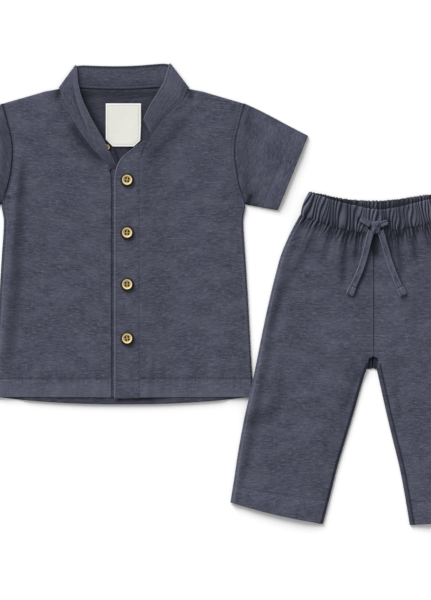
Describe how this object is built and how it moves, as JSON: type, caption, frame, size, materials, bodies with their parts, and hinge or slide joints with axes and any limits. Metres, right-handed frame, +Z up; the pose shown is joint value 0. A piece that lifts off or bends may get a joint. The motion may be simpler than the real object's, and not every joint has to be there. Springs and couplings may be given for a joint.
{
  "type": "baby shirt and trousers set",
  "caption": "Baby's short-sleeved button-front shirt with a band collar, and pull-on drawstring trousers, laid flat with one leg over the shirt's hem.",
  "frame": {"origin": "on the surface that the set lies on, under the middle of the whole set", "axes": "+X to the right of someone looking down on the set, +Y towards the shirt's neck, +Z up from the surface"},
  "size_m": [0.6212, 0.508, 0.0124],
  "materials": {
    "jersey": "matt slate-blue slub jersey",
    "jersey_inside": "matt slate-blue jersey, inner face",
    "button": "satin horn-look resin, straw and brown",
    "label": "woven satin, cream",
    "drawstring": "matt slate-blue jersey tape"
  },
  "bodies": {
    "root": {"shirt_back": "jersey_inside", "shirt_front_left": "jersey", "shirt_front_right": "jersey", "placket_left": "jersey", "placket_right": "jersey", "sleeve_left": "jersey", "sleeve_right": "jersey", "collar": "jersey", "neck_label": "label", "button_1": "button", "button_2": "button", "button_3": "button", "button_4": "button", "button_collar": "button", "trouser_back_left": "jersey_inside", "trouser_back_right": "jersey_inside", "trouser_front_left": "jersey", "trouser_front_right": "jersey", "waistband_back": "jersey_inside", "waistband_front": "jersey", "drawstring_lead_left": "drawstring", "drawstring_lead_right": "drawstring", "drawstring_knot": "drawstring", "drawstring_left": "drawstring", "drawstring_right": "drawstring", "drawstring_tab_left": "drawstring", "drawstring_tab_right": "drawstring"}
  },
  "joints": []
}
